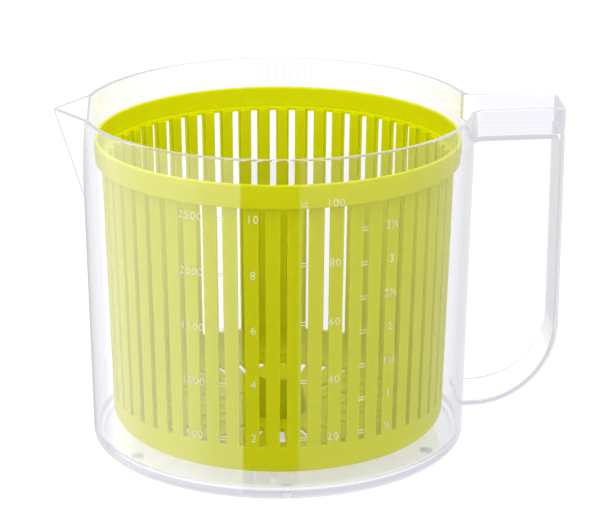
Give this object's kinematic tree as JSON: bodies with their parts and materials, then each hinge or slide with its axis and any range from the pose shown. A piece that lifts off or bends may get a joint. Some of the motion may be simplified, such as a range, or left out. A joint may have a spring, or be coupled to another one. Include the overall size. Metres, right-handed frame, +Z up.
{
  "type": "salad spinner",
  "caption": "Clear pouring jug with a strap handle and a slotted basket that spins on a floor pivot and lifts out.",
  "frame": {"origin": "on the jug's axis, in the plane that the feet stand on", "axes": "+Z up along the spin axis, +X from the axis towards the handle, with the spout at -X"},
  "size_m": [0.2244, 0.174, 0.1533],
  "materials": {
    "clear_styrene": "clear moulded styrene-acrylonitrile, polished",
    "lime_polypropylene": "moulded polypropylene, satin gloss",
    "stainless_steel": "ground bright",
    "white_acetal": "moulded, satin",
    "clear_silicone": "soft, matt, milky"
  },
  "bodies": {
    "jug_body": {"jug": "clear_styrene", "pivot_pin": "stainless_steel", "foot_1": "clear_silicone", "foot_2": "clear_silicone", "foot_3": "clear_silicone", "foot_4": "clear_silicone", "foot_5": "clear_silicone", "foot_6": "clear_silicone"},
    "bearing": {"bearing_cap": "white_acetal"},
    "basket_body": {"basket": "lime_polypropylene"}
  },
  "joints": [
    {"name": "basket_spin", "type": "hinge", "parent": "jug_body", "child": "bearing", "pos_m": [0, 0, 0], "axis": [0, 0, 1], "continuous": true},
    {"name": "basket_lift", "type": "slide", "parent": "bearing", "child": "basket_body", "axis": [0, 0, 1], "range_m": [0, 0.16]}
  ]
}
